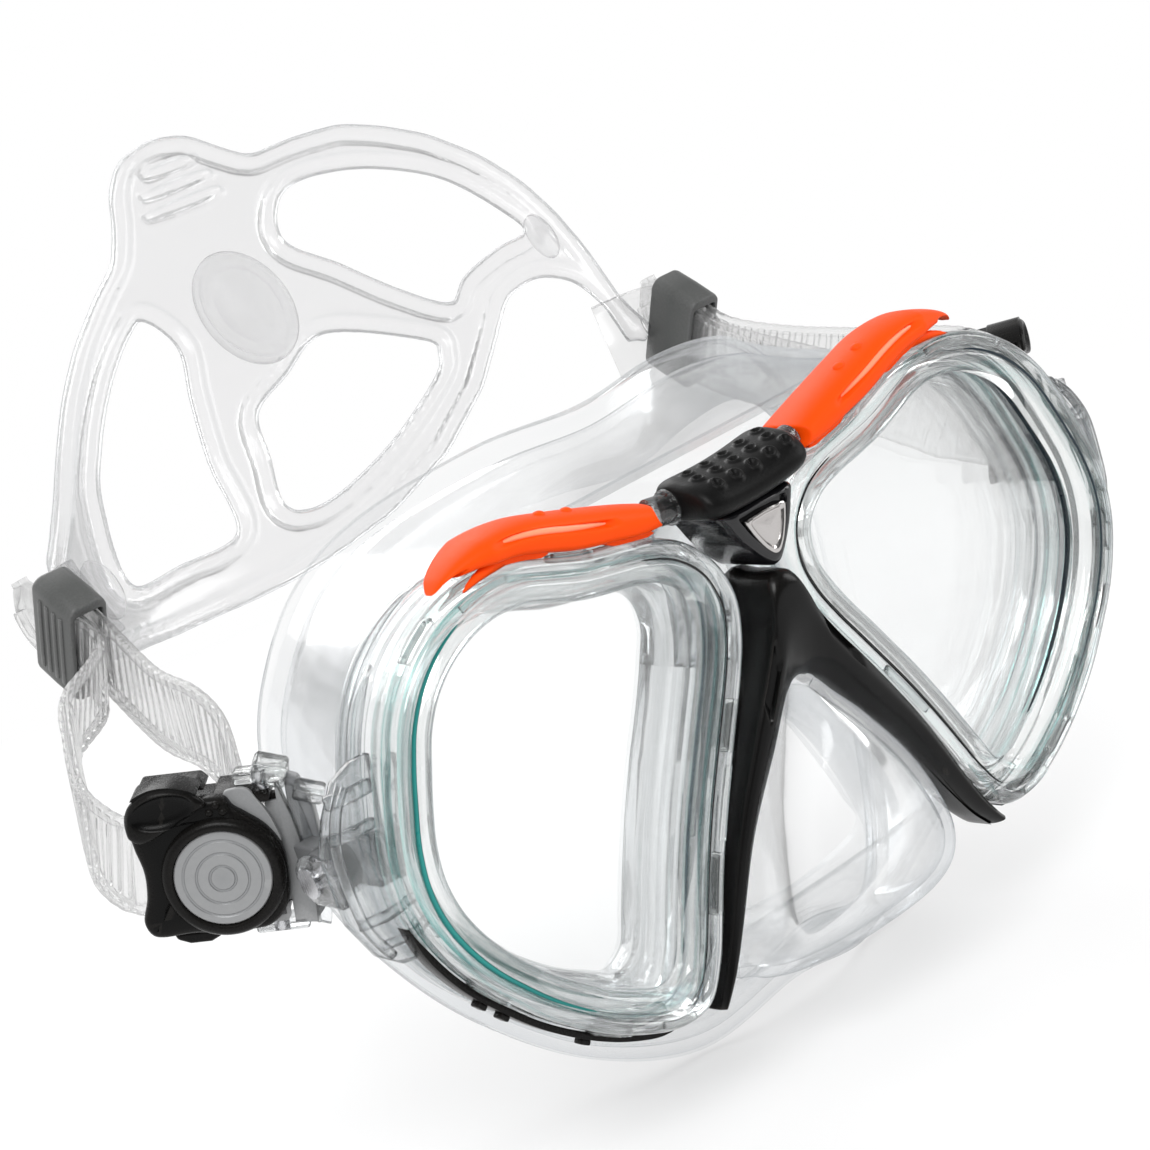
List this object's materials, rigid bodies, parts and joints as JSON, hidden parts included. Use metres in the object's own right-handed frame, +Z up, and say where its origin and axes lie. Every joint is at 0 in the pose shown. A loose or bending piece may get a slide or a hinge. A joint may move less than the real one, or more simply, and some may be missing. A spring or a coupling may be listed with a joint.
{
  "type": "diving mask",
  "caption": "Twin-lens diving mask with clear silicone skirt and nose pocket, clip-on rings, gimballed quick-release strap buckles and a split head strap.",
  "frame": {"origin": "midway between the two lenses, in the front plane of the bezels, on the middle plane of the mask", "axes": "+X towards the wearer's left, +Y from the lenses towards the head, +Z up"},
  "size_m": [0.2084, 0.1576, 0.1625],
  "materials": {
    "clear_silicone": "clear satin silicone",
    "clear_pc": "clear polished polycarbonate",
    "lens_glass": "tempered glass, green-blue ground edge",
    "orange": "satin orange",
    "soft_black": "soft-touch dimpled",
    "gloss_black": "glossy",
    "satin_black": "satin",
    "chrome": "bright chrome",
    "badge_grey": "satin grey, faint rings",
    "keeper_grey": "satin",
    "smoke_grey": "translucent smoke grey",
    "roller_white": "smooth acetal",
    "pin_steel": "stainless"
  },
  "bodies": {
    "root": {"skirt": "clear_silicone", "frame": "clear_pc", "bridge_grip": "soft_black", "bridge_shield": "gloss_black", "bridge_insert": "chrome", "nose_trim": "satin_black", "right_bezel": "clear_pc", "right_lens": "lens_glass", "right_accent": "orange", "right_lower_trim": "satin_black", "right_pitch_pin": "pin_steel", "left_bezel": "clear_pc", "left_lens": "lens_glass", "left_accent": "orange", "left_lower_trim": "satin_black", "left_pitch_pin": "pin_steel"},
    "strap": {"head_strap": "clear_silicone", "right_strap_run": "clear_silicone", "left_strap_run": "clear_silicone"},
    "right_keeper": {"right_keeper": "keeper_grey"},
    "right_yoke": {"right_yoke": "smoke_grey", "right_yaw_pins": "pin_steel"},
    "right_buckle": {"right_buckle_body": "satin_black", "right_buckle_badge": "badge_grey", "right_roller_pin": "pin_steel", "right_pawl_pin": "pin_steel", "right_pawl_spring": "pin_steel", "right_strap_wrap": "clear_silicone"},
    "right_upper_button": {"right_upper_button": "satin_black"},
    "right_lower_button": {"right_lower_button": "satin_black"},
    "right_roller": {"right_roller": "roller_white"},
    "right_pawl": {"right_pawl": "satin_black"},
    "left_keeper": {"left_keeper": "keeper_grey"},
    "left_yoke": {"left_yoke": "smoke_grey", "left_yaw_pins": "pin_steel"},
    "left_buckle": {"left_buckle_body": "satin_black", "left_buckle_badge": "badge_grey", "left_roller_pin": "pin_steel", "left_pawl_pin": "pin_steel", "left_pawl_spring": "pin_steel", "left_strap_wrap": "clear_silicone"},
    "left_upper_button": {"left_upper_button": "satin_black"},
    "left_lower_button": {"left_lower_button": "satin_black"},
    "left_roller": {"left_roller": "roller_white"},
    "left_pawl": {"left_pawl": "satin_black"}
  },
  "joints": [
    {"name": "strap_swing", "type": "hinge", "parent": "root", "child": "strap", "pos_m": [0, 0.0145, 0.005], "axis": [1, 0, 0], "range_deg": [-42, 18]},
    {"name": "right_yoke_pitch", "type": "hinge", "parent": "root", "child": "right_yoke", "pos_m": [-0.082, 0.0145, 0.005], "axis": [1, 0, 0], "range_deg": [-42.2, 18.2]},
    {"name": "right_buckle_yaw", "type": "hinge", "parent": "right_yoke", "child": "right_buckle", "pos_m": [-0.08425, 0.02694, 0.00841], "axis": [0.1462, -0.1227, 0.9816], "range_deg": [-8, 10]},
    {"name": "right_upper_button_press", "type": "slide", "parent": "right_buckle", "child": "right_upper_button", "axis": [-0.1462, 0.1227, -0.9816], "range_m": [0, 0.0012], "stiffness_N_per_m": 300},
    {"name": "right_lower_button_press", "type": "slide", "parent": "right_buckle", "child": "right_lower_button", "axis": [0.1462, -0.1227, 0.9816], "range_m": [0, 0.0012]},
    {"name": "right_pawl_lift", "type": "hinge", "parent": "right_buckle", "child": "right_pawl", "pos_m": [-0.09186, 0.03711, 0.01082], "axis": [0.1462, -0.1227, 0.9816], "range_deg": [0, 12]},
    {"name": "right_roller_spin", "type": "hinge", "parent": "right_buckle", "child": "right_roller", "pos_m": [-0.08598, 0.03113, 0.00919], "axis": [0.1462, -0.1227, 0.9816], "continuous": true},
    {"name": "right_keeper_slide", "type": "slide", "parent": "strap", "child": "right_keeper", "axis": [0, 0.848, 0.5299], "range_m": [-0.004, 0.0015]},
    {"name": "left_yoke_pitch", "type": "hinge", "parent": "root", "child": "left_yoke", "pos_m": [0.082, 0.0145, 0.005], "axis": [1, 0, 0], "range_deg": [-42.2, 18.2]},
    {"name": "left_buckle_yaw", "type": "hinge", "parent": "left_yoke", "child": "left_buckle", "pos_m": [0.08425, 0.02694, 0.00841], "axis": [0.1462, 0.1227, -0.9816], "range_deg": [-8, 10]},
    {"name": "left_upper_button_press", "type": "slide", "parent": "left_buckle", "child": "left_upper_button", "axis": [0.1462, 0.1227, -0.9816], "range_m": [0, 0.0012], "stiffness_N_per_m": 300},
    {"name": "left_lower_button_press", "type": "slide", "parent": "left_buckle", "child": "left_lower_button", "axis": [-0.1462, -0.1227, 0.9816], "range_m": [0, 0.0012]},
    {"name": "left_pawl_lift", "type": "hinge", "parent": "left_buckle", "child": "left_pawl", "pos_m": [0.09186, 0.03711, 0.01082], "axis": [0.1462, 0.1227, -0.9816], "range_deg": [0, 12]},
    {"name": "left_roller_spin", "type": "hinge", "parent": "left_buckle", "child": "left_roller", "pos_m": [0.08598, 0.03113, 0.00919], "axis": [0.1462, 0.1227, -0.9816], "continuous": true},
    {"name": "left_keeper_slide", "type": "slide", "parent": "strap", "child": "left_keeper", "axis": [0, 0.848, 0.5299], "range_m": [-0.004, 0.0015]}
  ],
  "couplings": [
    {"joint": "right_yoke_pitch", "follows": "strap_swing", "ratio": 1},
    {"joint": "right_lower_button_press", "follows": "right_upper_button_press", "ratio": 1},
    {"joint": "right_pawl_lift", "follows": "right_upper_button_press", "rad_per_m": 145.44},
    {"joint": "left_yoke_pitch", "follows": "strap_swing", "ratio": 1},
    {"joint": "left_lower_button_press", "follows": "left_upper_button_press", "ratio": 1},
    {"joint": "left_pawl_lift", "follows": "left_upper_button_press", "rad_per_m": 145.44}
  ]
}
